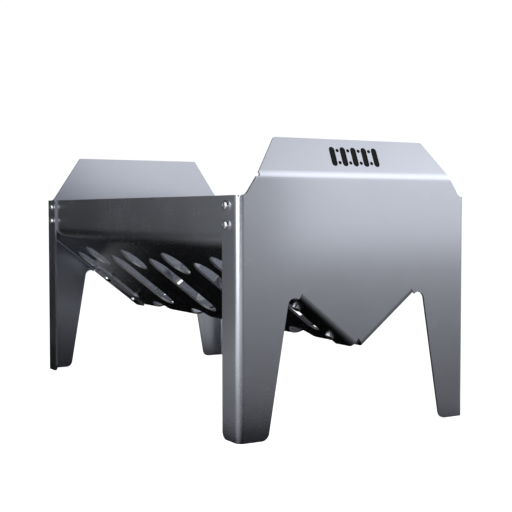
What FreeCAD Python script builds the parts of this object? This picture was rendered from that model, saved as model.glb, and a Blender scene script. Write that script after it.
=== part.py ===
"""Bolted sheet-steel trough stand: two end panels carry a V-floored trough between them.

Millimetres. X runs along the trough, Y across it and Z up from the floor.
The origin is on the floor under the middle of the stand.
"""
import FreeCAD, Part
import math
import os

from FreeCAD import Vector

os.makedirs("parts", exist_ok=True)

# Overall sizes; the rises are of the walls over the V's upper corners, and of the end panels over the walls
length = 570.0
width = 290.0
wall_rise = 50.2
top_rise = 62.0
sheet = 2.5
bend_radius = 7.0
wall_bend_radius = 20.0
ridge_bend_radius = 15.0

# The V-shaped floor: its lowest line and its slope, on the end panels' lower faces
tip_height = 82.0
slope_angle = 38.0

# Flanges of the end panels
side_flange = 33.0
slope_flange = 32.0
relief_slit = 0.8
tip_relief = 3.3
shoulder_relief_radius = 1.8

# Outline of the end panels
shoulder_inset = 8.5
shoulder_radius = 7.0
top_width = 189.0
foot_width = 34.3
leg_lean = 9.8
arch_radius = 8.0
foot_radius = 9.0
flange_foot_radius = 8.0
top_corner_radius = 2.5

# The top strip of the near panel, folded over the trough
fold_rise = 21.0
fold_angle = 23.4
fold_radius = 25.0
fold_relief_radius = 2.5

# Shallow pockets in the folded strip: upright slots with dots between them
motif_slots = 5
motif_pitch = 13.5
motif_slot_width = 7.0
motif_slot_height = 22.0
motif_dot_diameter = 4.0
motif_dot_rise = 7.0
motif_centre_rise = 21.0
motif_depth = 0.8

# Air holes in the trough's floor
slot_width = 42.0
slot_ridge_gap = 29.0
slot_wall_gap = 39.5
hole_wall_gap = 24.0
ridge_hole_diameter = 52.0
end_web = 8.0
columns_each_side = 4
flange_cover = 2.0
step_rise = 10.0
step_radius = 6.0

# Screws and nuts
screw_diameter = 6.0
hole_clearance = 0.3
thread_clearance = 0.05
thread_showing = 2.0
screw_tip_chamfer = 0.6
head_diameter = 10.5
head_height = 3.3
head_rim = 0.5
head_flat_radius = 2.8
socket_across = 4.0
socket_depth = 2.0
nut_across = 10.0
nut_height = 5.0
nut_chamfer_angle = 30.0
side_screw_inset = 24.0
side_screw_drop = 10.0
side_screw_pitch = 19.5
slope_screw_inset = 25.0
slope_screw_end_gap = 16.0

# Values worked out from the sizes above
half_length = length / 2
half_width = width / 2
trough_half_length = half_length - bend_radius
trough_half_width = half_width - sheet
slope = math.radians(slope_angle)
slope_sin = math.sin(slope)
slope_cos = math.cos(slope)
slope_tan = math.tan(slope)
lean_tan = math.tan(math.radians(leg_lean))
wall_height = tip_height + half_width * slope_tan + wall_rise
panel_height = wall_height + top_rise
fold_height = wall_height + fold_rise
notch_setback = bend_radius * slope_tan + tip_relief
fold_turn = math.radians(fold_angle)
fold_start = fold_height - fold_radius * math.tan(fold_turn / 2)
fold_stretch = fold_turn * (fold_radius - sheet / 2)
overcut = 2.0


def slope_point(side, x, along, above):
    """Return a point by its distance along one slope of the V and its height above that slope."""
    y = along * slope_cos - above * slope_sin
    z = tip_height + along * slope_sin + above * slope_cos
    return Vector(x, side * y, z)


def slope_normal(side):
    """Return the direction that points up and inwards, square to one slope."""
    return Vector(0, -side * slope_sin, slope_cos)


def rounded_face(points, radii, place):
    """Return a face bounded by straight runs and tangent arcs.

    points are (a, b) pairs round the outline, radii hold one value for each corner,
    and place turns a pair into a point in space.
    """
    corners = [Vector(a, b, 0) for a, b in points]
    starts = []
    middles = []
    ends = []
    for index, corner in enumerate(corners):
        before = (corners[index - 1] - corner).normalize()
        after = (corners[(index + 1) % len(corners)] - corner).normalize()
        half_turn = before.getAngle(after) / 2
        setback = radii[index] / math.tan(half_turn)
        bisector = (before + after).normalize()
        to_arc = radii[index] / math.sin(half_turn) - radii[index]
        starts.append(corner + before * setback)
        middles.append(corner + bisector * to_arc)
        ends.append(corner + after * setback)
    edges = []
    for index, start in enumerate(starts):
        end = ends[index]
        next_start = starts[(index + 1) % len(starts)]
        if radii[index] > 0:
            arc_points = [place(p.x, p.y) for p in (start, middles[index], end)]
            edges.append(Part.Arc(*arc_points).toShape())
        if end.distanceToPoint(next_start) > 1e-6:
            edges.append(Part.makeLine(place(end.x, end.y), place(next_start.x, next_start.y)))
    return Part.Face(Part.Wire(edges))


def arch_corner():
    """Return the sharp corner (y, z) where a leg's inner edge would meet the V."""
    inner = half_width - foot_width
    y = (inner - lean_tan * tip_height) / (1 + lean_tan * slope_tan)
    return y, tip_height + y * slope_tan


def arch_start():
    """Return the distance along the slope at which the arch's fillet leaves the V."""
    corner_angle = math.radians(90 + leg_lean) - slope
    return arch_corner()[0] / slope_cos - arch_radius / math.tan(corner_angle / 2)


def half_width_at(height):
    """Return half the panel's width at a height above its shoulders, before folding."""
    shoulder = half_width - shoulder_inset
    share = (height - wall_height) / top_rise
    return shoulder + share * (top_width / 2 - shoulder)


def sloping_strip(low, high, corner_radius):
    """Return the flat strip of a panel between two heights above its shoulders."""
    points = [
        (-half_width_at(low), low),
        (half_width_at(low), low),
        (half_width_at(high), high),
        (-half_width_at(high), high),
    ]
    radii = [0, 0, corner_radius, corner_radius]
    face = rounded_face(points, radii, lambda y, z: Vector(half_length, y, z))
    return face.extrude(Vector(-sheet, 0, 0))


def panel_web():
    """Return the upright web of a panel up to its shoulders: two legs, arches and the V."""
    straight = half_width - bend_radius
    inner = half_width - foot_width
    arch_y, arch_z = arch_corner()
    notch_low = slope_point(1, 0, notch_setback, 0)
    notch_top = tip_height + notch_setback / slope_sin
    half = [
        (straight, wall_height, 0),
        (straight, 0, 0),
        (inner, 0, foot_radius),
        (arch_y, arch_z, arch_radius),
        (notch_low.y, notch_low.z, 0),
    ]
    points = [(y, z) for y, z, _ in half] + [(0, notch_top)]
    points += [(-y, z) for y, z, _ in reversed(half)]
    radii = [r for _, _, r in half] + [0] + [r for _, _, r in reversed(half)]
    face = rounded_face(points, radii, lambda y, z: Vector(half_length, y, z))
    return face.extrude(Vector(-sheet, 0, 0))


def flange_section(depth, place):
    """Return the section of a bend and its flange, folded back from the web's outer face.

    place takes a distance along X and a depth below the flange's outer face.
    """
    free_edge = half_length - depth
    points = [
        (free_edge, 0),
        (half_length, 0),
        (half_length, bend_radius),
        (half_length - sheet, bend_radius),
        (half_length - sheet, sheet),
        (free_edge, sheet),
    ]
    radii = [0, bend_radius, 0, 0, bend_radius - sheet, 0]
    return rounded_face(points, radii, place)


def side_flange_solid(side):
    """Return one upright side flange with its bend and its rounded foot."""
    section = flange_section(side_flange, lambda x, d: Vector(x, side * (half_width - d), 0))
    flange = section.extrude(Vector(0, 0, wall_height))
    free_edge = half_length - side_flange
    foot = [
        edge for edge in flange.Edges
        if abs(edge.CenterOfMass.x - free_edge) < 1e-3 and abs(edge.CenterOfMass.z) < 1e-3
    ]
    return flange.makeFillet(flange_foot_radius, foot)


def slope_flange_end():
    """Return the distance along the slope at which its flange ends, short of the arch."""
    return arch_start() - relief_slit


def slope_flange_solid(side):
    """Return one flange under the trough's floor, with its bend."""
    section = flange_section(slope_flange, lambda x, d: slope_point(side, x, notch_setback, d))
    run = slope_point(side, 0, slope_flange_end(), 0) - slope_point(side, 0, notch_setback, 0)
    return section.extrude(run)


def slope_bend_gap(side):
    """Return the strip of web that gives way to a slope flange's bend and its relief slit."""
    corners = [
        slope_point(side, half_length + overcut, notch_setback, -overcut),
        slope_point(side, half_length + overcut, arch_start(), -overcut),
        slope_point(side, half_length + overcut, arch_start(), bend_radius),
        slope_point(side, half_length + overcut, notch_setback, bend_radius),
    ]
    face = Part.Face(Part.makePolygon(corners + corners[:1]))
    return face.extrude(Vector(-sheet - 2 * overcut, 0, 0))


def shoulder_fillet(side):
    """Return the metal in the hollow corner between a shoulder and the slanting edge above it."""
    corner_y = half_width - shoulder_inset
    slant = math.atan2(top_rise, corner_y - top_width / 2)
    setback = shoulder_radius * math.tan(slant / 2)
    bulge = shoulder_radius / math.cos(slant / 2) - shoulder_radius

    def place(outwards, upwards):
        """Return a point by its distances from the hollow corner, on the bend's rear plane."""
        return Vector(half_length - bend_radius, side * (corner_y + outwards), wall_height + upwards)

    lean_out = math.sin(slant / 2)
    lean_up = math.cos(slant / 2)
    foot = place(setback, 0)
    middle = place(bulge * lean_out, bulge * lean_up)
    head = place(-setback * math.cos(slant), setback * math.sin(slant))
    edges = [
        Part.makeLine(place(0, 0), foot),
        Part.Arc(foot, middle, head).toShape(),
        Part.makeLine(head, place(0, 0)),
    ]
    wedge = Part.Face(Part.Wire(edges)).extrude(Vector(bend_radius, 0, 0))
    section = flange_section(side_flange, lambda x, d: Vector(x, side * (half_width - d), wall_height))
    flat_corner = Vector(half_length - sheet, -half_width + bend_radius, wall_height)
    flat = Part.makeBox(sheet, width - 2 * bend_radius, top_rise, flat_corner)
    return wedge.common(section.extrude(Vector(0, 0, top_rise)).fuse(flat))


def shoulder_relief(side):
    """Return the small round relief at the top of a side flange's bend."""
    middle = bend_radius * (1 - math.cos(math.radians(45)))
    bend_top = Vector(half_length - middle, side * (half_width - middle), wall_height)
    across = Vector(1, side, 0).normalize()
    reach = 2 * sheet
    return Part.makeCylinder(shoulder_relief_radius, 2 * reach, bend_top - across * reach, across)


def cross_hole(diameter, point, direction):
    """Return a cylinder that runs through any stack of sheets at a point."""
    reach = 3 * bend_radius
    return Part.makeCylinder(diameter / 2, 2 * reach, point - direction * reach, direction)


def motif_pockets():
    """Return the upright slots and dots that are sunk into the top strip, before folding."""
    centre = fold_height + motif_centre_rise
    half_across = motif_slot_width / 2
    half_up = motif_slot_height / 2
    floor = half_length - motif_depth
    inwards = Vector(motif_depth + overcut, 0, 0)
    pockets = []
    for index in range(motif_slots):
        y = (index - (motif_slots - 1) / 2) * motif_pitch
        points = [
            (y - half_across, centre - half_up),
            (y + half_across, centre - half_up),
            (y + half_across, centre + half_up),
            (y - half_across, centre + half_up),
        ]
        radii = [half_across] * len(points)
        face = rounded_face(points, radii, lambda a, b: Vector(floor, a, b))
        pockets.append(face.extrude(inwards))
    for index in range(motif_slots - 1):
        y = (index - (motif_slots - 2) / 2) * motif_pitch
        for rise in (-motif_dot_rise, motif_dot_rise):
            spot = Vector(floor, y, centre + rise)
            pockets.append(Part.makeCylinder(motif_dot_diameter / 2, inwards.x, spot, inwards))
    return pockets


def radial_frame(bend_axis, inner, outer, half_span, turn):
    """Return a rectangle that stands out from the fold's axis, turned back by some degrees."""
    corners = [
        bend_axis + Vector(inner, -half_span, 0),
        bend_axis + Vector(outer, -half_span, 0),
        bend_axis + Vector(outer, half_span, 0),
        bend_axis + Vector(inner, half_span, 0),
    ]
    frame = Part.makePolygon(corners + corners[:1])
    frame.rotate(bend_axis, Vector(0, 1, 0), -turn)
    return frame


def folded_top():
    """Return the near panel's top strip: a tapered bend and a plate that leans over the trough."""
    bend_axis = Vector(half_length - fold_radius, 0, fold_start)
    along_bend = Vector(0, 1, 0)
    low_span = half_width_at(fold_start)
    high_span = half_width_at(fold_start + fold_stretch)
    section = Part.Face(radial_frame(bend_axis, fold_radius - sheet, fold_radius, low_span, 0))
    bend = section.revolve(bend_axis, along_bend, -fold_angle)
    taper_inner = fold_radius - 2 * sheet
    taper_outer = fold_radius + 2 * sheet
    taper = Part.makeLoft(
        [
            radial_frame(bend_axis, taper_inner, taper_outer, low_span, 0),
            radial_frame(bend_axis, taper_inner, taper_outer, high_span, fold_angle),
        ],
        True,
        True,
    )
    plate = sloping_strip(fold_start + fold_stretch, panel_height, top_corner_radius)
    plate = plate.cut(motif_pockets())
    plate.translate(Vector(0, 0, -fold_stretch))
    plate.rotate(bend_axis, along_bend, -fold_angle)
    return bend.common(taper).fuse(plate)


def fold_reliefs():
    """Return the small round reliefs at both ends of the folded strip's bend."""
    middle = fold_start + fold_stretch / 2
    ends = [Vector(half_length, side * half_width_at(middle), middle) for side in (-1, 1)]
    return [cross_hole(2 * fold_relief_radius, end, Vector(1, 0, 0)) for end in ends]


def side_screw_places(side):
    """Return the places of one side flange's two screws, on its outer face."""
    x = half_length - side_screw_inset
    top = wall_height - side_screw_drop
    return [Vector(x, side * half_width, z) for z in (top, top - side_screw_pitch)]


def slope_screw_places(side):
    """Return the places of one slope flange's two screws, on its lower face."""
    x = half_length - slope_screw_inset
    low = notch_setback + slope_screw_end_gap
    high = slope_flange_end() - slope_screw_end_gap
    return [slope_point(side, x, along, 0) for along in (high, low)]


def screw_holes():
    """Return the clearance holes for one panel's screws."""
    diameter = screw_diameter + 2 * hole_clearance
    holes = []
    for side in (-1, 1):
        for place in side_screw_places(side):
            holes.append(cross_hole(diameter, place, Vector(0, side, 0)))
        for place in slope_screw_places(side):
            holes.append(cross_hole(diameter, place, slope_normal(side)))
    return holes


def mirrored(shape):
    """Return a shape mirrored to the far end."""
    return shape.mirror(Vector(0, 0, 0), Vector(1, 0, 0))


def end_panel(folded):
    """Return a panel at the near end, with its top strip folded or left flat."""
    web = panel_web().cut([slope_bend_gap(side) for side in (-1, 1)])
    flanges = [side_flange_solid(side) for side in (-1, 1)]
    flanges += [slope_flange_solid(side) for side in (-1, 1)]
    if folded:
        top = [sloping_strip(wall_height, fold_start, 0), folded_top()]
    else:
        top = [sloping_strip(wall_height, panel_height, top_corner_radius)]
    fillets = [shoulder_fillet(side) for side in (-1, 1)]
    panel = web.fuse(flanges + top + fillets).removeSplitter()
    cuts = screw_holes() + [shoulder_relief(side) for side in (-1, 1)]
    if folded:
        cuts += fold_reliefs()
    return panel.cut(cuts)


def trough_body():
    """Return the bent sheet of the trough: two upright walls on a V-shaped floor."""
    outer_ridge = tip_height + sheet / slope_cos
    inner_ridge = outer_ridge + sheet / slope_cos
    inner_half_width = trough_half_width - sheet
    half = [
        (trough_half_width, wall_height, 0),
        (inner_half_width, wall_height, 0),
        (inner_half_width, inner_ridge + inner_half_width * slope_tan, wall_bend_radius - sheet),
    ]
    outer_corner_height = outer_ridge + trough_half_width * slope_tan
    ring = half + [(0, inner_ridge, ridge_bend_radius - sheet)]
    ring += [(-y, z, r) for y, z, r in reversed(half)]
    ring += [
        (-trough_half_width, outer_corner_height, wall_bend_radius),
        (0, outer_ridge, ridge_bend_radius),
        (trough_half_width, outer_corner_height, wall_bend_radius),
    ]
    points = [(y, z) for y, z, _ in ring]
    radii = [r for _, _, r in ring]
    face = rounded_face(points, radii, lambda y, z: Vector(-trough_half_length, y, z))
    return face.extrude(Vector(2 * trough_half_length, 0, 0))


def floor_cutter(side, points, radii):
    """Return a prism through one slope from an outline of (x, distance along the slope)."""
    face = rounded_face(points, radii, lambda x, along: slope_point(side, x, along, 0))
    return face.extrude(slope_normal(side) * (3 * sheet))


def floor_edge():
    """Return the distance along the slope from the tip line to the trough's wall."""
    return trough_half_width / slope_cos


def long_slot(side, x):
    """Return one long slot; where an end panel's flange lies under it, the slot steps back."""
    low = slot_ridge_gap
    high = floor_edge() - slot_wall_gap
    radius = slot_width / 2
    covered = half_length - slope_flange - flange_cover
    step = slope_flange_end() + step_rise
    if abs(x) + radius <= covered:
        points = [(x - radius, low), (x + radius, low), (x + radius, high), (x - radius, high)]
        return floor_cutter(side, points, [radius] * 4)
    end = math.copysign(1, x)
    narrow = (covered - (abs(x) - radius)) / 2
    inner_x = x - end * radius
    outer_x = x + end * radius
    narrow_x = end * covered
    points = [
        (inner_x, low),
        (narrow_x, low),
        (narrow_x, step),
        (outer_x, step),
        (outer_x, high),
        (inner_x, high),
    ]
    return floor_cutter(side, points, [narrow, narrow, step_radius, step_radius, radius, radius])


def round_hole(side, x):
    """Return one round hole high on a slope."""
    centre = floor_edge() - hole_wall_gap - slot_width / 2
    point = slope_point(side, x, centre, 0)
    return Part.makeCylinder(slot_width / 2, 3 * sheet, point, slope_normal(side))


def ridge_hole(side, x):
    """Return one slope's half of a round hole that is centred on the V's lowest line."""
    normal = slope_normal(side)
    below = slope_point(side, x, 0, -2 * sheet)
    radius = ridge_hole_diameter / 2
    cylinder = Part.makeCylinder(radius, 6 * sheet, below, normal)
    half_space = Part.makeBox(2 * radius, 2 * radius, panel_height, Vector(x - radius, 0, 0))
    if side < 0:
        half_space = half_space.mirror(Vector(0, 0, 0), Vector(0, 1, 0))
    return cylinder.common(half_space)


def floor_cutters():
    """Return the whole pattern: long slots in turn with pairs of round holes."""
    pitch = (trough_half_length - end_web - slot_width / 2) / columns_each_side
    cutters = []
    for side in (-1, 1):
        for column in range(-columns_each_side, columns_each_side + 1):
            x = column * pitch
            if column % 2 == 0:
                cutters.append(long_slot(side, x))
            else:
                cutters.append(round_hole(side, x))
                cutters.append(ridge_hole(side, x))
    return cutters


def trough():
    """Return the pierced trough, drilled for both panels' screws."""
    holes = screw_holes()
    return trough_body().cut(floor_cutters() + holes + [mirrored(hole) for hole in holes])


def hexagon_prism(across, height):
    """Return an upright hexagonal prism on the origin."""
    radius = across / math.sqrt(3)
    corners = [
        Vector(radius * math.cos(math.radians(turn)), radius * math.sin(math.radians(turn)), 0)
        for turn in range(0, 360, 60)
    ]
    face = Part.Face(Part.makePolygon(corners + corners[:1]))
    return face.extrude(Vector(0, 0, height))


def screw():
    """Return a button-head socket screw that points down, its head resting on Z = 0."""
    shank_length = 2 * sheet + nut_height + thread_showing
    radius = screw_diameter / 2
    rim = head_diameter / 2
    dome_x = (rim + head_flat_radius) / 2 + head_rim
    dome_middle = Vector(dome_x, 0, (head_rim + head_height) / 2 + head_rim)
    corners = [
        Vector(0, 0, head_height),
        Vector(0, 0, -shank_length),
        Vector(radius - screw_tip_chamfer, 0, -shank_length),
        Vector(radius, 0, screw_tip_chamfer - shank_length),
        Vector(radius, 0, 0),
        Vector(rim, 0, 0),
        Vector(rim, 0, head_rim),
    ]
    top = Vector(head_flat_radius, 0, head_height)
    edges = [Part.makeLine(a, b) for a, b in zip(corners, corners[1:])]
    edges.append(Part.Arc(corners[-1], dome_middle, top).toShape())
    edges.append(Part.makeLine(top, corners[0]))
    body = Part.Face(Part.Wire(edges)).revolve(Vector(0, 0, 0), Vector(0, 0, 1), 360)
    socket = hexagon_prism(socket_across, head_height)
    socket.translate(Vector(0, 0, head_height - socket_depth))
    return body.cut(socket)


def nut():
    """Return a chamfered hexagon nut that stands on Z = 0."""
    corner = nut_across / math.sqrt(3)
    face_radius = nut_across / 2
    chamfer = (corner - face_radius) * math.tan(math.radians(nut_chamfer_angle))
    profile = [
        Vector(0, 0, 0),
        Vector(face_radius, 0, 0),
        Vector(corner, 0, chamfer),
        Vector(corner, 0, nut_height - chamfer),
        Vector(face_radius, 0, nut_height),
        Vector(0, 0, nut_height),
    ]
    turned = Part.Face(Part.makePolygon(profile + profile[:1]))
    turned = turned.revolve(Vector(0, 0, 0), Vector(0, 0, 1), 360)
    bore_radius = screw_diameter / 2 + thread_clearance
    bore = Part.makeCylinder(bore_radius, nut_height + 2 * overcut, Vector(0, 0, -overcut))
    return hexagon_prism(nut_across, nut_height).common(turned).cut(bore)


def seated(shape, point, direction):
    """Return a copy of a shape with its Z axis along a direction and its origin at a point."""
    copy = shape.copy()
    copy.Placement = FreeCAD.Placement(point, FreeCAD.Rotation(Vector(0, 0, 1), direction))
    return copy


def fasteners():
    """Return every screw and nut by name."""
    pieces = {}
    for side, side_name in ((-1, "front"), (1, "rear")):
        flanges = (
            ("side", side_screw_places(side), Vector(0, side, 0)),
            ("slope", slope_screw_places(side), slope_normal(side) * -1),
        )
        for flange_name, places, outward in flanges:
            for level, place in zip(("upper", "lower"), places):
                bolt = seated(screw(), place, outward)
                lock = seated(nut(), place - outward * (2 * sheet), outward * -1)
                ending = f"{side_name}_{flange_name}_{level}"
                pieces[f"near_{ending}_screw"] = bolt
                pieces[f"near_{ending}_nut"] = lock
                pieces[f"far_{ending}_screw"] = mirrored(bolt)
                pieces[f"far_{ending}_nut"] = mirrored(lock)
    return pieces


def main():
    """Build each piece and write it to its own file."""
    pieces = {
        "near_end_panel": end_panel(folded=True),
        "far_end_panel": mirrored(end_panel(folded=False)),
        "trough": trough(),
    }
    pieces.update(fasteners())
    for name, shape in pieces.items():
        shape.exportStep(f"parts/{name}.step")
        print(f"{name}: {len(shape.Solids)} solid, {shape.Volume:.1f} mm3")


main()
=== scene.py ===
"""Looks of a bolted sheet-steel trough stand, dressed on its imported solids.

The stand has two end panels with legs, one V-floored trough between them, and button-head
screws with hexagon nuts. Every length is in metres.
"""
from __future__ import annotations

import logging
import math
from abc import ABC, abstractmethod
from collections.abc import Callable
from dataclasses import dataclass
from enum import Enum, IntEnum

import bmesh
import bpy
from mathutils import Matrix, Vector
from mathutils.bvhtree import BVHTree

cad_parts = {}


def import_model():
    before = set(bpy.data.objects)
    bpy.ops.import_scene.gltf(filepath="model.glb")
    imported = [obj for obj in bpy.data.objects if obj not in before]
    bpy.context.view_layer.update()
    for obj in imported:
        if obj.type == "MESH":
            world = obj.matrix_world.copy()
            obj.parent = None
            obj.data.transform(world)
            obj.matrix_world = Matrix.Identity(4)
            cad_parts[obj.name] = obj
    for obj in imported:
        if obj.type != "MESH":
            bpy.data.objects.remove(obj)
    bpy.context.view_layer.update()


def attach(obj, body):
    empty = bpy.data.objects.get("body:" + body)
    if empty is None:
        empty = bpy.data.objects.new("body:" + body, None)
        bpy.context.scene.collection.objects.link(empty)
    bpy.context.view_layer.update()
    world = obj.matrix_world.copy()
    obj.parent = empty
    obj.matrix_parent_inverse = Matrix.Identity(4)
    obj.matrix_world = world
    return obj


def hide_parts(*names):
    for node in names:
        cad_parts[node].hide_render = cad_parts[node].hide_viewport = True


LOG = logging.getLogger("trough_stand")
MM = 0.001
BODY = "root"
BUMP_DISTANCE = 0.02 * MM
NOISE_MIDDLE = 0.5

Triple = tuple[float, float, float]
Colour = tuple[float, float, float, float]
Ring = Callable[[float], tuple[float, float]]

WHITE: Colour = (1.0, 1.0, 1.0, 1.0)
BLACK: Colour = (0.0, 0.0, 0.0, 1.0)
ALONG: Triple = (1.0, 0.0, 0.0)
REARWARD: Triple = (0.0, 1.0, 0.0)
UP: Triple = (0.0, 0.0, 1.0)


class Grain(Enum):
    """How many grain lines a metre holds along X, Y and Z."""

    ALONG_TROUGH = (25.0, 4200.0, 4200.0)
    LEVEL = (25.0, 25.0, 4200.0)
    EVEN = (900.0, 900.0, 900.0)


class Skin(IntEnum):
    """The finishes and the painted shade of a dressed sheet, in the order of its material slots."""

    FACE = 0
    RIM = 1
    POCKET_SHADE = 2


class Term:
    """A node's output that takes part in Python sums."""

    def __init__(self, graph: Graph, socket: bpy.types.NodeSocket) -> None:
        """Keep the socket and the graph that it belongs to."""
        self.graph = graph
        self.socket = socket

    def _maths(self, operation: str, first: Term | float, second: Term | float) -> Term:
        """Return a Math node's output for two values."""
        made = self.graph.node("ShaderNodeMath", {"operation": operation}, {0: first, 1: second})
        return self.graph.term(made)

    def __add__(self, other: Term | float) -> Term:
        """Return the sum."""
        return self._maths("ADD", self, other)

    def __radd__(self, other: float) -> Term:
        """Return the sum with a number on the left."""
        return self._maths("ADD", other, self)

    def __sub__(self, other: Term | float) -> Term:
        """Return the difference."""
        return self._maths("SUBTRACT", self, other)

    def __rsub__(self, other: float) -> Term:
        """Return the difference from a number on the left."""
        return self._maths("SUBTRACT", other, self)

    def __mul__(self, other: Term | float) -> Term:
        """Return the product."""
        return self._maths("MULTIPLY", self, other)

    def __rmul__(self, other: float) -> Term:
        """Return the product with a number on the left."""
        return self._maths("MULTIPLY", other, self)

    def __pow__(self, other: Term | float) -> Term:
        """Return the power."""
        return self._maths("POWER", self, other)

    def __rpow__(self, other: float) -> Term:
        """Return the power of a number on the left."""
        return self._maths("POWER", other, self)

    def swing(self, depth: float) -> Term:
        """Return a noise's swing about its middle, times a depth."""
        return (self - NOISE_MIDDLE) * depth

    def along(self, heading: Triple) -> Term:
        """Return how far a vector reaches along a heading."""
        made = self.graph.node("ShaderNodeVectorMath", {"operation": "DOT_PRODUCT"}, {0: self, 1: heading})
        return self.graph.term(made, "Value")

    def ramp(self, low: float, high: float, low_out: float = 0.0, high_out: float = 1.0) -> Term:
        """Return a smooth step from one value to another.

        Args:
            low: Input at which the step starts.
            high: Input at which it ends.
            low_out: Value up to the start.
            high_out: Value from the end on.

        Returns:
            The stepped value.
        """
        made = self.graph.node(
            "ShaderNodeMapRange",
            {"interpolation_type": "SMOOTHSTEP"},
            {"Value": self, "From Min": low, "From Max": high, "To Min": low_out, "To Max": high_out},
        )
        return self.graph.term(made)


class Graph:
    """A node tree and the one method that makes its nodes."""

    def __init__(self, tree: bpy.types.NodeTree) -> None:
        """Empty the tree and keep it."""
        tree.nodes.clear()
        self.tree = tree

    def node(
        self,
        kind: str,
        settings: dict[str, object] | None = None,
        inputs: dict[str | int, object] | None = None,
    ) -> bpy.types.Node:
        """Make one node.

        Args:
            kind: The node's type.
            settings: The node's own settings, set before its sockets.
            inputs: Values or terms for its sockets, by name or number.

        Returns:
            The new node.
        """
        made = self.tree.nodes.new(kind)
        for name, value in (settings or {}).items():
            setattr(made, name, value)
        for key, value in (inputs or {}).items():
            if isinstance(value, Term):
                self.tree.links.new(value.socket, made.inputs[key])
            else:
                made.inputs[key].default_value = value
        return made

    def term(self, node: bpy.types.Node, output: str | int = 0) -> Term:
        """Return one output of a node as a term."""
        return Term(self, node.outputs[output])


def new_object(name: str, data: bpy.types.ID) -> bpy.types.Object:
    """Add an object to the scene.

    Args:
        name: The object's name.
        data: The mesh, camera or light that it shows.

    Returns:
        The object, at the origin.
    """
    made = bpy.data.objects.new(name, data)
    bpy.context.scene.collection.objects.link(made)
    return made


@dataclass(frozen=True)
class Noise:
    """A cloudy pattern: how fine it is, how many finer layers it has and how strong they are."""

    scale: float
    detail: float
    roughness: float = 0.5

    def at(self, place: Term) -> Term:
        """Return the pattern's value at a place."""
        inputs = {"Vector": place, "Scale": self.scale, "Detail": self.detail, "Roughness": self.roughness}
        return place.graph.term(place.graph.node("ShaderNodeTexNoise", None, inputs))


@dataclass(frozen=True)
class Finish(ABC):
    """A surface finish with a tint and a roughness that vary a little from place to place."""

    name: str
    tint: Triple
    roughness: float

    @abstractmethod
    def sockets(self, place: Term) -> dict[str, Term | float]:
        """Work out what the shader's sockets hold.

        Args:
            place: The place on the piece.

        Returns:
            Values and terms by the socket's name.
        """

    def material(self) -> bpy.types.Material:
        """Build the finish.

        Returns:
            The material.
        """
        made = bpy.data.materials.new(self.name)
        made.use_nodes = True
        graph = Graph(made.node_tree)
        place = graph.term(graph.node("ShaderNodeTexCoord"), "Object")
        shader = graph.node("ShaderNodeBsdfPrincipled", None, self.sockets(place))
        graph.node("ShaderNodeOutputMaterial", None, {"Surface": graph.term(shader)})
        return made

    def tinted(self, tone: Term) -> Term:
        """Return the tint, made lighter or darker by a tone."""
        inputs = {0: self.tint, "Scale": tone}
        return tone.graph.term(tone.graph.node("ShaderNodeVectorMath", {"operation": "SCALE"}, inputs))

    def lifted(self, height: Term, strength: float) -> Term:
        """Return the surface's direction under a fine relief."""
        inputs = {"Height": height, "Strength": strength, "Distance": BUMP_DISTANCE}
        return height.graph.term(height.graph.node("ShaderNodeBump", None, inputs))


@dataclass(frozen=True)
class SheetFinish(Finish):
    """Satin sheet steel: fine straight grain under soft, cloudy handling marks."""

    grain: Grain
    lines: Noise = Noise(1.0, 3.0, 0.65)
    clouds: Noise = Noise(9.0, 4.0, 0.55)
    marks: Noise = Noise(63.0, 2.0, 0.5)
    line_depth: float = 0.08
    cloud_depth: float = 0.10
    line_gloss: float = 0.05
    cloud_gloss: float = 0.07
    mark_gloss: float = 0.03
    relief: float = 0.035

    def sockets(self, place: Term) -> dict[str, Term | float]:
        """Work out what the shader's sockets hold.

        Args:
            place: The place on the piece.

        Returns:
            Values and terms by the socket's name.
        """
        graph = place.graph
        inputs = {0: place, 1: self.grain.value}
        drawn = graph.term(graph.node("ShaderNodeVectorMath", {"operation": "MULTIPLY"}, inputs))
        line = self.lines.at(drawn)
        cloud = self.clouds.at(place)
        mark = self.marks.at(place)
        gloss = line.swing(self.line_gloss) + cloud.swing(self.cloud_gloss) + mark.swing(self.mark_gloss)
        return {
            "Base Color": self.tinted(1.0 + cloud.swing(self.cloud_depth) + line.swing(self.line_depth)),
            "Metallic": 1.0,
            "Roughness": self.roughness + gloss,
            "Normal": self.lifted(line, self.relief),
        }


@dataclass(frozen=True)
class TurnedFinish(Finish):
    """Bright fastener steel with a fine speckle."""

    speckles: Noise = Noise(900.0, 2.0, 0.6)
    speckle_depth: float = 0.12
    speckle_gloss: float = 0.1
    relief: float = 0.1

    def sockets(self, place: Term) -> dict[str, Term | float]:
        """Work out what the shader's sockets hold.

        Args:
            place: The place on the piece.

        Returns:
            Values and terms by the socket's name.
        """
        speckle = self.speckles.at(place)
        return {
            "Base Color": self.tinted(1.0 + speckle.swing(self.speckle_depth)),
            "Metallic": 1.0,
            "Roughness": self.roughness + speckle.swing(self.speckle_gloss),
            "Normal": self.lifted(speckle, self.relief),
        }


@dataclass(frozen=True)
class PaintedHoleShade(Finish):
    """Matt black painted shade in a shallow pocket, standing for the darkness seen through a cut-out."""

    tint: Triple = (0.006, 0.006, 0.007)
    roughness: float = 0.55
    clouds: Noise = Noise(400.0, 3.0)
    darkest: float = 0.6
    cloud_depth: float = 0.8
    cloud_gloss: float = 0.2
    specular_level: float = 0.2

    def sockets(self, place: Term) -> dict[str, Term | float]:
        """Work out what the shader's sockets hold.

        Args:
            place: The place on the piece.

        Returns:
            Values and terms by the socket's name.
        """
        cloud = self.clouds.at(place)
        return {
            "Base Color": self.tinted(self.darkest + cloud * self.cloud_depth),
            "Roughness": self.roughness + cloud.swing(self.cloud_gloss),
            "Specular IOR Level": self.specular_level,
        }


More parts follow.
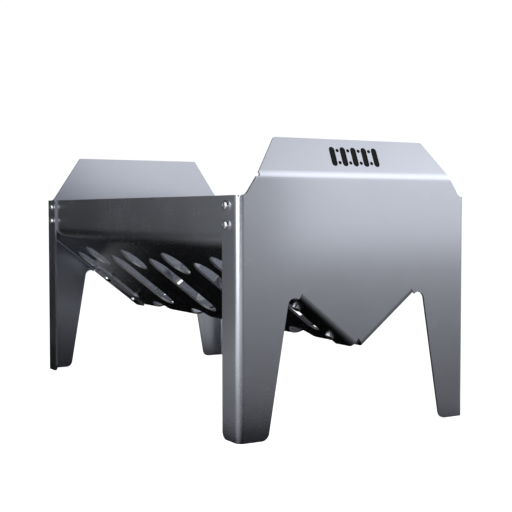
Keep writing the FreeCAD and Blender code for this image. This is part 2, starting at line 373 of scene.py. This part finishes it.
PANEL_FINISH = SheetFinish("satin_panel_steel", (0.585, 0.61, 0.685), 0.26, Grain.LEVEL)
TROUGH_FINISH = SheetFinish("satin_trough_steel", (0.57, 0.595, 0.66), 0.26, Grain.ALONG_TROUGH)
EDGE_FINISH = SheetFinish("laser_cut_edge", (0.42, 0.43, 0.45), 0.42, Grain.EVEN, relief=0.4)
SCREW_FINISH = TurnedFinish("polished_screw_steel", (0.78, 0.79, 0.81), 0.14)
NUT_FINISH = TurnedFinish("plain_nut_steel", (0.62, 0.63, 0.65), 0.26)
# The pocket fill is painted shade: black where a cut-out would show darkness.
HOLE_SHADE_FINISH = PaintedHoleShade("painted_hole_shade")


@dataclass
class StandSizes:
    """Sizes that the pieces share, as the solids have them."""

    sheet: float = 2.5 * MM
    slope: float = math.radians(38.0)
    fold: float = math.radians(23.4)

    def slope_normal(self, side: int) -> Vector:
        """Return the direction square to a slope that points up into the trough."""
        return Vector((0.0, -side * math.sin(self.slope), math.cos(self.slope)))


@dataclass
class SheetPiece:
    """One bent sheet: the solid's own form with eased edges and laser-cut rims."""

    node: str
    slot: str
    finish: SheetFinish
    sizes: StandSizes
    pocketed: bool = False
    easing: float = 0.35 * MM
    easing_steps: int = 2
    flat_weight: int = 80
    merge: float = 0.002 * MM
    cell: float = 20.0 * MM
    flat_turn: float = math.radians(0.4)
    sharp_turn: float = math.radians(35.0)
    rim_depth: float = 1.3
    pocket_depth: float = 0.8 * MM
    pocket_slack: float = 0.1 * MM
    pocket_level: float = 0.999

    def build(self) -> bpy.types.Object:
        """Dress the sheet.

        Returns:
            The piece that stands for the solid.
        """
        mesh = bpy.data.objects[self.node].data.copy()
        mesh.name = f"{self.node}_dressed"
        self._join_faces(mesh)
        self._lay_finishes(mesh)
        piece = new_object(f"{self.node}_sheet", mesh)
        self._ease_edges(piece)
        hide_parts(self.node)
        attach(piece, BODY)
        return piece

    def _join_faces(self, mesh: bpy.types.Mesh) -> None:
        """Merge the solid's loose triangles and clear the lines inside flat faces.

        Args:
            mesh: The sheet's mesh.
        """
        work = bmesh.new()
        work.from_mesh(mesh)
        bmesh.ops.remove_doubles(work, verts=work.verts, dist=self.merge)
        bmesh.ops.dissolve_limit(work, angle_limit=self.flat_turn, verts=work.verts, edges=work.edges)
        self._cut_cells(work)
        work.to_mesh(mesh)
        work.free()
        mesh.polygons.foreach_set("use_smooth", [True] * len(mesh.polygons))
        mesh.set_sharp_from_angle(angle=self.sharp_turn)

    def _cut_cells(self, work: bmesh.types.BMesh) -> None:
        """Cut long faces into short cells, so that a bend's shading runs evenly along it.

        Args:
            work: The open mesh.
        """
        for axis in range(3):
            way = Vector([float(index == axis) for index in range(3)])
            reach = [vertex.co[axis] for vertex in work.verts]
            for step in range(math.ceil(min(reach) / self.cell), math.floor(max(reach) / self.cell) + 1):
                place = way * ((step + 0.5) * self.cell)
                geometry = work.verts[:] + work.edges[:] + work.faces[:]
                bmesh.ops.bisect_plane(work, geom=geometry, dist=self.merge, plane_co=place, plane_no=way)

    def _lay_finishes(self, mesh: bpy.types.Mesh) -> None:
        """Give the faces and the rims their finishes, and the pockets their painted shade.

        Args:
            mesh: The sheet's mesh.
        """
        finishes = {Skin.FACE: self.finish, Skin.RIM: EDGE_FINISH, Skin.POCKET_SHADE: HOLE_SHADE_FINISH}
        mesh.materials.clear()
        for skin in Skin:
            finish = finishes[skin]
            mesh.materials.append(bpy.data.materials.get(finish.name) or finish.material())
        for index in self._rims(mesh):
            mesh.polygons[index].material_index = Skin.RIM
        # The black pocket floors are painted shade, standing for cut-outs.
        if self.pocketed:
            self._paint_pocket_shade(mesh)

    def _rims(self, mesh: bpy.types.Mesh) -> list[int]:
        """Find the rims, behind which the steel is deeper than the sheet is thick.

        Args:
            mesh: The sheet's mesh.

        Returns:
            The numbers of the rim's faces.
        """
        mesh.calc_loop_triangles()
        corners = [vertex.co for vertex in mesh.vertices]
        skin = BVHTree.FromPolygons(corners, [triangle.vertices for triangle in mesh.loop_triangles])
        largest = {}
        for triangle in sorted(mesh.loop_triangles, key=lambda triangle: triangle.area):
            largest[triangle.polygon_index] = triangle
        rims = []
        for index, triangle in largest.items():
            inward = -mesh.polygons[index].normal
            middle = sum((corners[corner] for corner in triangle.vertices), Vector()) / 3
            depth = skin.ray_cast(middle + inward * self.merge, inward)[3]
            if depth is None or depth > self.rim_depth * self.sizes.sheet:
                rims.append(index)
        return rims

    def _paint_pocket_shade(self, mesh: bpy.types.Mesh) -> None:
        """Paint the floors of the pockets in the folded plate black, as painted shade for cut-outs.

        Args:
            mesh: The sheet's mesh.
        """
        plate = Vector((math.cos(self.sizes.fold), 0.0, math.sin(self.sizes.fold)))
        reach = max(vertex.co @ plate for vertex in mesh.vertices)
        floors = [
            face for face in mesh.polygons
            if face.normal @ plate > self.pocket_level
            and abs(reach - face.center @ plate - self.pocket_depth) < self.pocket_slack
        ]
        for face in floors:
            face.material_index = Skin.POCKET_SHADE
        LOG.info("%s: %d faces in its pocket floors", self.node, len(floors))

    def _ease_edges(self, piece: bpy.types.Object) -> None:
        """Round the sheet's sharp edges a little and keep its flats flat.

        Args:
            piece: The dressed sheet.
        """
        bevel = piece.modifiers.new("eased_edges", "BEVEL")
        bevel.width = self.easing
        bevel.segments = self.easing_steps
        bevel.limit_method = "ANGLE"
        bevel.angle_limit = self.sharp_turn
        bevel.harden_normals = False
        bevel.use_clamp_overlap = True
        weighted = piece.modifiers.new("flat_flats", "WEIGHTED_NORMAL")
        weighted.keep_sharp = True
        weighted.weight = self.flat_weight


@dataclass(frozen=True)
class Seat:
    """Where a fastener sits: its name, the point under it and the way it faces."""

    name: str
    point: Vector
    outward: Vector

    def behind(self, depth: float) -> Seat:
        """Return the seat on the other side of the sheets, facing the other way."""
        return Seat(self.name, self.point - self.outward * depth, -self.outward)


@dataclass
class Fasteners:
    """Button-head screws and hexagon nuts, set out on their seats by Geometry Nodes."""

    sizes: StandSizes
    steps: int = 48
    dome_steps: int = 8
    turn_seed: int = 7
    weld: float = 1e-8
    sharp_turn: float = math.radians(32.0)
    shank_radius: float = 3.0 * MM
    plain_shank: float = 2.2 * MM
    thread_stop: float = 3.0 * MM
    thread_pitch: float = 1.0 * MM
    thread_depth: float = 0.35 * MM
    thread_showing: float = 2.0 * MM
    tip_inset: float = 0.2 * MM
    tip_height: float = 0.35 * MM
    head_radius: float = 5.25 * MM
    head_height: float = 3.3 * MM
    head_rim: float = 0.5 * MM
    head_break: float = 0.15 * MM
    head_flat_radius: float = 2.8 * MM
    dome_power: float = 1.15
    socket_across: float = 4.0 * MM
    socket_depth: float = 2.0 * MM
    socket_lip: float = 0.18 * MM
    socket_point: float = 0.4 * MM
    nut_across: float = 10.0 * MM
    nut_height: float = 5.0 * MM
    nut_face_share: float = 0.985
    nut_corner_share: float = 1.135
    chamfer_turn: float = math.radians(30.0)
    least_chamfer: float = 0.12 * MM
    bore_radius: float = 3.05 * MM
    bore_break: float = 0.4 * MM

    def build(self) -> list[bpy.types.Object]:
        """Make the fasteners.

        Returns:
            All the screws as one piece and all the nuts as another.
        """
        seats = self._seats()
        nut_seats = [seat.behind(2 * self.sizes.sheet) for seat in seats]
        screws = self._set_out("screws", self._screw_mesh(), seats, SCREW_FINISH)
        nuts = self._set_out("nuts", self._nut_mesh(), nut_seats, NUT_FINISH)
        for piece, kind in ((screws, "screw"), (nuts, "nut")):
            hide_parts(*[f"{seat.name}_{kind}" for seat in seats])
            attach(piece, BODY)
        return [screws, nuts]

    def _seats(self) -> list[Seat]:
        """Find every screw's seat.

        Returns:
            The seats under the screws' heads.
        """
        seats = []
        for end in ("near", "far"):
            for side, side_name in ((-1, "front"), (1, "rear")):
                ways = {"side": Vector((0.0, float(side), 0.0)), "slope": -self.sizes.slope_normal(side)}
                for flange, outward in ways.items():
                    for level in ("upper", "lower"):
                        name = f"{end}_{side_name}_{flange}_{level}"
                        seats.append(Seat(name, self._seat_point(f"{name}_screw", outward), outward))
        return seats

    def _seat_point(self, node: str, outward: Vector) -> Vector:
        """Find where a screw's head sits.

        Args:
            node: The screw's solid.
            outward: The way in which its head points.

        Returns:
            The middle of the head's lower face.
        """
        corners = [vertex.co for vertex in bpy.data.objects[node].data.vertices]
        sideways = Vector(ALONG)
        upright = outward.cross(sideways)

        def middle(way: Vector) -> Vector:
            """Return the part of the screw's middle that lies one way."""
            reach = [corner @ way for corner in corners]
            return way * (min(reach) + max(reach)) / 2

        top = max(corner @ outward for corner in corners)
        return middle(sideways) + middle(upright) + outward * (top - self.head_height)

    def _ring_mesh(self, name: str, rings: list[Ring]) -> bpy.types.Mesh:
        """Join rings round Z.

        Args:
            name: The mesh's name.
            rings: For each ring, a function from a turn to a radius and a height.

        Returns:
            The closed mesh, with its ends shut where they reach the axis.
        """
        work = bmesh.new()
        rows = []
        for ring in rings:
            row = []
            for step in range(self.steps):
                turn = 2 * math.pi * step / self.steps
                radius, height = ring(turn)
                row.append(work.verts.new((radius * math.cos(turn), radius * math.sin(turn), height)))
            rows.append(row)
        for lower, upper in zip(rows, rows[1:]):
            for step in range(self.steps):
                after = (step + 1) % self.steps
                work.faces.new((lower[step], lower[after], upper[after], upper[step]))
        bmesh.ops.remove_doubles(work, verts=work.verts, dist=self.weld)
        bmesh.ops.recalc_face_normals(work, faces=work.faces)
        mesh = bpy.data.meshes.new(name)
        work.to_mesh(mesh)
        work.free()
        mesh.polygons.foreach_set("use_smooth", [True] * len(mesh.polygons))
        mesh.set_sharp_from_angle(angle=self.sharp_turn)
        return mesh

    @staticmethod
    def _hexagon(across: float, turn: float) -> float:
        """Return a hexagon's radius at a turn."""
        sixth = math.pi / 3
        return across / 2 / math.cos((turn % sixth) - sixth / 2)

    def _shank_profile(self) -> list[tuple[float, float]]:
        """Draw half of a threaded shank.

        Returns:
            Radii and heights, from the tip up to the head at 0.
        """
        length = 2 * self.sizes.sheet + self.nut_height + self.thread_showing
        root = self.shank_radius - self.thread_depth
        first = -length + self.tip_height
        turns = round((length - self.thread_stop) / self.thread_pitch)
        profile = [(0.0, -length), (root - self.tip_inset, -length)]
        for index in range(turns):
            height = first + index * self.thread_pitch
            profile += [(root, height), (self.shank_radius, height + self.thread_pitch / 2)]
        profile += [(root, first + turns * self.thread_pitch)]
        profile += [(self.shank_radius, -self.plain_shank), (self.shank_radius, 0.0)]
        return profile

    def _head_profile(self) -> list[tuple[float, float]]:
        """Draw half of a domed head.

        Returns:
            Radii and heights, from the seat at 0 up to the flat on top.
        """
        rise = self.head_height - self.head_rim
        spread = self.head_radius - self.head_flat_radius
        profile = [(self.head_radius - self.head_break, 0.0), (self.head_radius, self.head_break)]
        for step in range(self.dome_steps + 1):
            lean = math.pi / 2 * step / self.dome_steps
            profile.append((
                self.head_flat_radius + spread * math.cos(lean) ** self.dome_power,
                self.head_rim + rise * math.sin(lean),
            ))
        return profile

    def _screw_mesh(self) -> bpy.types.Mesh:
        """Make one screw.

        Returns:
            The screw, pointing down, with its head's lower face on Z = 0.
        """
        profile = self._shank_profile() + self._head_profile()
        top = self.head_height
        floor = top - self.socket_depth
        rings = [lambda turn, point=point: point for point in profile]
        rings += [
            lambda turn: (self._hexagon(self.socket_across + 2 * self.socket_lip, turn), top),
            lambda turn: (self._hexagon(self.socket_across, turn), top - self.socket_lip),
            lambda turn: (self._hexagon(self.socket_across, turn), floor),
            lambda turn: (0.0, floor - self.socket_point),
        ]
        return self._ring_mesh("screw", rings)

    def _nut_mesh(self) -> bpy.types.Mesh:
        """Make one chamfered nut.

        Returns:
            The nut, standing on Z = 0.
        """
        half = self.nut_across / 2
        face = half * self.nut_face_share
        bore = self.bore_radius
        mouth = bore + self.bore_break
        high = self.nut_height

        def corner(turn: float) -> float:
            """Return the nut's own radius, its corners a little rounded."""
            return min(self._hexagon(self.nut_across, turn), half * self.nut_corner_share)

        def drop(turn: float) -> float:
            """Return how far the chamfer comes down at a turn."""
            return max(corner(turn) - face, self.least_chamfer) * math.tan(self.chamfer_turn)

        rings = [
            lambda turn: (mouth, 0.0),
            lambda turn: (face, 0.0),
            lambda turn: (corner(turn), drop(turn)),
            lambda turn: (corner(turn), high - drop(turn)),
            lambda turn: (face, high),
            lambda turn: (mouth, high),
            lambda turn: (bore, high - self.bore_break),
            lambda turn: (bore, self.bore_break),
            lambda turn: (mouth, 0.0),
        ]
        return self._ring_mesh("nut", rings)

    def _set_out(
        self,
        name: str,
        part: bpy.types.Mesh,
        seats: list[Seat],
        finish: TurnedFinish,
    ) -> bpy.types.Object:
        """Set a part out on every seat.

        Args:
            name: The piece's name.
            part: The part's mesh, with its seat on Z = 0.
            seats: Where the copies sit.
            finish: The piece's finish.

        Returns:
            One piece with all the copies as plain mesh.
        """
        points = bpy.data.meshes.new(f"{name}_seats")
        points.from_pydata([tuple(seat.point) for seat in seats], [], [])
        outward = points.attributes.new("outward", "FLOAT_VECTOR", "POINT")
        outward.data.foreach_set("vector", [value for seat in seats for value in seat.outward])
        holder = new_object(f"{name}_holder", points)
        sample = bpy.data.objects.new(f"{name}_sample", part)
        modifier = holder.modifiers.new("set_out", "NODES")
        modifier.node_group = self._set_out_tree(name)
        material = finish.material()
        values = {"Part": sample, "Largest Turn": math.pi, "Seed": self.turn_seed, "Finish": material}
        for item in modifier.node_group.interface.items_tree:
            if item.item_type == "SOCKET" and item.in_out == "INPUT" and item.name in values:
                modifier[item.identifier] = values[item.name]
        bpy.context.view_layer.update()
        shown = holder.evaluated_get(bpy.context.evaluated_depsgraph_get())
        mesh = bpy.data.meshes.new_from_object(shown)
        mesh.name = name
        mesh.materials.clear()
        mesh.materials.append(material)
        mesh.polygons.foreach_set("material_index", [0] * len(mesh.polygons))
        bpy.data.objects.remove(holder)
        bpy.data.objects.remove(sample)
        LOG.info("%s: %d copies", name, len(seats))
        return new_object(name, mesh)

    def _set_out_tree(self, name: str) -> bpy.types.NodeTree:
        """Build a tree that stands a part on each point, turned about its own axis.

        Args:
            name: The name of what it sets out.

        Returns:
            The tree, with named inputs.
        """
        tree = bpy.data.node_groups.new(f"set_out_{name}", "GeometryNodeTree")
        inputs = {
            "Geometry": "NodeSocketGeometry",
            "Part": "NodeSocketObject",
            "Largest Turn": "NodeSocketFloat",
            "Seed": "NodeSocketInt",
            "Finish": "NodeSocketMaterial",
        }
        for label, kind in inputs.items():
            tree.interface.new_socket(label, in_out="INPUT", socket_type=kind)
        tree.interface.new_socket("Geometry", in_out="OUTPUT", socket_type="NodeSocketGeometry")
        graph = Graph(tree)
        given = graph.node("NodeGroupInput")
        part = graph.node("GeometryNodeObjectInfo", None, {"Object": graph.term(given, "Part")})
        outward = graph.node(
            "GeometryNodeInputNamedAttribute", {"data_type": "FLOAT_VECTOR"}, {"Name": "outward"},
        )
        aligned = graph.node(
            "FunctionNodeAlignRotationToVector", {"axis": "Z"},
            {"Vector": graph.term(outward, "Attribute")},
        )
        turn = graph.node(
            "FunctionNodeRandomValue", {"data_type": "FLOAT"},
            {"Max": graph.term(given, "Largest Turn"), "Seed": graph.term(given, "Seed")},
        )
        twist = graph.node(
            "FunctionNodeAxisAngleToRotation", None, {"Axis": UP, "Angle": graph.term(turn, 1)},
        )
        turned = graph.node(
            "FunctionNodeRotateRotation", {"rotation_space": "LOCAL"},
            {"Rotation": graph.term(aligned), "Rotate By": graph.term(twist)},
        )
        copies = graph.node(
            "GeometryNodeInstanceOnPoints", None,
            {
                "Points": graph.term(given, "Geometry"),
                "Instance": graph.term(part, "Geometry"),
                "Rotation": graph.term(turned),
            },
        )
        real = graph.node("GeometryNodeRealizeInstances", None, {"Geometry": graph.term(copies)})
        dressed = graph.node(
            "GeometryNodeSetMaterial", None,
            {"Geometry": graph.term(real), "Material": graph.term(given, "Finish")},
        )
        graph.node("NodeGroupOutput", None, {"Geometry": graph.term(dressed)})
        return tree


@dataclass(frozen=True)
class Softbox:
    """A soft rectangular studio light."""

    name: str
    place: Triple
    aim: Triple
    size: tuple[float, float]
    glow: float
    tint: Triple = (1.0, 1.0, 1.0)

    @property
    def power(self) -> float:
        """Return the power that gives the box its glow."""
        return math.pi * self.glow * self.size[0] * self.size[1]


@dataclass(frozen=True)
class Step:
    """A soft edge of light that lies across a heading."""

    heading: Triple
    low: float
    high: float
    low_out: float = 0.0
    high_out: float = 1.0

    def share(self, way: Term) -> Term:
        """Return the light's share at a place or in a direction."""
        return way.along(self.heading).ramp(self.low, self.high, self.low_out, self.high_out)


@dataclass(frozen=True)
class Patch:
    """A soft-edged patch of light: a strength times the shares of its steps."""

    name: str
    strength: float
    steps: tuple[Step, ...]

    def glow(self, way: Term) -> Term:
        """Work out the patch's light.

        Args:
            way: A place on the floor, or a direction in the surroundings.

        Returns:
            The light there, from a node that has the patch's name.
        """
        made = math.prod([step.share(way) for step in self.steps], start=self.strength)
        made.socket.node.label = self.name
        return made


@dataclass
class Studio:
    """Camera, plain pale floor that shows painted light and shade in reflections, and soft light."""

    camera_place: Triple = (1.14857, -0.62797, 0.22892)
    camera_reach: float = 120.0
    yaw: float = math.radians(30.23)
    pitch: float = math.radians(-2.49)
    roll: float = math.radians(0.02)
    lens: float = 71.39
    sensor: float = 36.0
    floor_half: float = 40.0
    floor_tone: Colour = (0.92, 0.92, 0.92, 1.0)
    floor_roughness: float = 0.9
    floor_glow: float = 0.9
    ahead: Triple = (0.80, 0.60, 0.0)
    ahead_edge: tuple[float, float] = (0.15, 0.42)
    ahead_growth: float = 0.45
    ahead_painted_light: float = 0.20
    # Patches of painted light on the floor, seen only in the steel's reflections.
    floor_painted_light_patches: tuple[Patch, ...] = (
        Patch("front", 0.20, (Step((0.50, -0.87, 0.0), 0.0, 0.35), Step(REARWARD, -0.22, -0.13, 1.0, 0.0))),
        Patch("far_front", 0.60, (Step(REARWARD, -0.80, -0.25, 1.0, 0.0), Step(ALONG, -0.60, 0.0))),
        Patch("rear", 0.32, (Step(REARWARD, 0.12, 0.28), Step(ALONG, 0.15, 0.40, 1.0, 0.0))),
        Patch("far_end", 0.45, (Step(ALONG, -0.85, -0.50, 1.0, 0.0), Step(REARWARD, -0.35, 0.05))),
    )
    sky_tint: Colour = (0.97, 0.985, 1.0, 1.0)
    backdrop_glow: float = 1.05
    sky_patches: tuple[Patch, ...] = (
        Patch("right", 1.0, (
            Step((0.70, 0.70, 0.30), 0.78, 0.98),
            Step(UP, -0.04, 0.36, 0.20, 1.35),
            Step(UP, 0.40, 0.64, 1.0, 0.36),
        )),
        Patch("left", 1.0, (Step((-0.17, -0.985, 0.0), 0.51, 0.97), Step(UP, 0.0, 0.8, 1.0, 0.3))),
        Patch("rear", 1.0, (Step((-0.50, 0.87, 0.0), 0.20, 0.90), Step(UP, 0.0, 0.40, 0.85, 0.05))),
        Patch("above", 1.0, (Step(UP, 0.1, 0.9, 0.01, 0.07),)),
    )
    softboxes: tuple[Softbox, ...] = (
        Softbox("right_softbox", (0.62, 0.54, 0.64), (-0.38, 0.54, 0.62), (0.84, 0.94), 0.48),
        Softbox("front_softbox", (0.50, -1.32, 0.62), (0.28, -0.14, 0.30), (1.25, 1.10), 2.1),
        Softbox("top_softbox", (0.2, 0.2, 1.9), (0.0, 0.0, 0.0), (1.2, 0.8), 0.15, (1.0, 0.93, 0.82)),
    )

    def build(self) -> None:
        """Set up the camera, the floor, the lights and the surroundings."""
        self._camera()
        self._floor()
        for box in self.softboxes:
            self._light(box)
        self._surroundings()
        bpy.context.scene.view_settings.view_transform = "Standard"

    def _camera(self) -> None:
        """Stand the camera where the photograph was taken."""
        forward = Vector((
            -math.cos(self.yaw) * math.cos(self.pitch),
            math.sin(self.yaw) * math.cos(self.pitch),
            math.sin(self.pitch),
        ))
        right = forward.cross(Vector(UP)).normalized()
        up = right.cross(forward)
        tilt = Matrix.Rotation(self.roll, 3, forward)
        data = bpy.data.cameras.new("photo_camera")
        data.lens = self.lens
        data.sensor_width = self.sensor
        data.clip_end = self.camera_reach
        camera = new_object("photo_camera", data)
        turn = Matrix((tilt @ right, tilt @ up, -forward)).transposed().to_4x4()
        camera.matrix_world = Matrix.Translation(self.camera_place) @ turn
        bpy.context.scene.camera = camera

    def _floor(self) -> None:
        """Lay a floor that the camera sees plain and pale, and that the steel mirrors darker, as painted
        light in soft patches with a painted shadow under the stand.
        """
        half = self.floor_half
        corners = [(-half, -half, 0), (half, -half, 0), (half, half, 0), (-half, half, 0)]
        mesh = bpy.data.meshes.new("floor")
        mesh.from_pydata(corners, [], [(0, 1, 2, 3)])
        mesh.materials.append(self._floor_material())
        new_object("floor", mesh)

    def _floor_material(self) -> bpy.types.Material:
        """Build the floor's finish.

        Returns:
            The material, which gives reflected rays painted light and painted shade.
        """
        made = bpy.data.materials.new("pale_floor")
        made.use_nodes = True
        graph = Graph(made.node_tree)
        place = graph.term(graph.node("ShaderNodeTexCoord"), "Object")
        # Painted light and shade: for glossy rays the floor glows in soft patches around the stand and
        # stays dark under it, as a painted shadow.
        ahead = place.along(self.ahead)
        glow = ahead.ramp(*self.ahead_edge) * ahead ** self.ahead_growth * self.ahead_painted_light
        for patch in self.floor_painted_light_patches:
            glow = glow + patch.glow(place)
        inputs = {0: WHITE[:3], "Scale": glow}
        painted_floor_light = graph.term(graph.node("ShaderNodeVectorMath", {"operation": "SCALE"}, inputs))
        pale = self._matt_glow(graph, self.floor_tone, WHITE, self.floor_glow)
        painted_floor_shader = self._matt_glow(graph, BLACK, painted_floor_light, 1.0)
        seen = graph.term(graph.node("ShaderNodeLightPath"), "Is Glossy Ray")
        shader = graph.node("ShaderNodeMixShader", None, {0: seen, 1: pale, 2: painted_floor_shader})
        graph.node("ShaderNodeOutputMaterial", None, {"Surface": graph.term(shader)})
        # Sampled as a lamp, the floor would light the steel with its pale side.
        made.cycles.emission_sampling = "NONE"
        return made

    def _matt_glow(self, graph: Graph, tone: Colour, light: Colour | Term, strength: float) -> Term:
        """Make a matt shader that glows.

        Args:
            graph: The floor's nodes.
            tone: The floor's own colour.
            light: The colour of its glow.
            strength: The strength of its glow.

        Returns:
            The shader.
        """
        inputs = {
            "Base Color": tone,
            "Roughness": self.floor_roughness,
            "Specular IOR Level": 0.0,
            "Emission Color": light,
            "Emission Strength": strength,
        }
        return graph.term(graph.node("ShaderNodeBsdfPrincipled", None, inputs))

    def _light(self, box: Softbox) -> None:
        """Hang one softbox.

        Args:
            box: The light's place, aim, size and glow.
        """
        data = bpy.data.lights.new(box.name, "AREA")
        data.shape = "RECTANGLE"
        data.size, data.size_y = box.size
        data.energy = box.power
        data.color = box.tint
        light = new_object(box.name, data)
        light.location = box.place
        light.rotation_euler = (Vector(box.aim) - Vector(box.place)).to_track_quat("-Z", "Y").to_euler()
        light.visible_camera = False

    def _surroundings(self) -> None:
        """Surround the stand with soft patches of light, and show the camera a plain white instead."""
        world = bpy.data.worlds.new("studio_surroundings")
        world.use_nodes = True
        bpy.context.scene.world = world
        graph = Graph(world.node_tree)
        way = graph.term(graph.node("ShaderNodeTexCoord"), "Generated")
        glow = sum(patch.glow(way) for patch in self.sky_patches)
        seen = graph.term(graph.node("ShaderNodeLightPath"), "Is Camera Ray")
        strength = glow * (1 - seen) + seen * self.backdrop_glow
        back = graph.node("ShaderNodeBackground", None, {"Color": self.sky_tint, "Strength": strength})
        graph.node("ShaderNodeOutputWorld", None, {"Surface": graph.term(back)})


def main() -> None:
    """Load the solids, dress them and light the studio."""
    logging.basicConfig(level=logging.INFO, format="%(name)s: %(message)s")
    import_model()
    sizes = StandSizes()
    sheets = (
        SheetPiece("near_end_panel", "panel_steel", PANEL_FINISH, sizes, pocketed=True),
        SheetPiece("far_end_panel", "panel_steel", PANEL_FINISH, sizes),
        SheetPiece("trough", "trough_steel", TROUGH_FINISH, sizes),
    )
    for piece in [sheet.build() for sheet in sheets] + Fasteners(sizes).build():
        LOG.info("dressed %s: %d faces in its mesh", piece.name, len(piece.data.polygons))
    Studio().build()


if __name__ == "__main__":
    main()
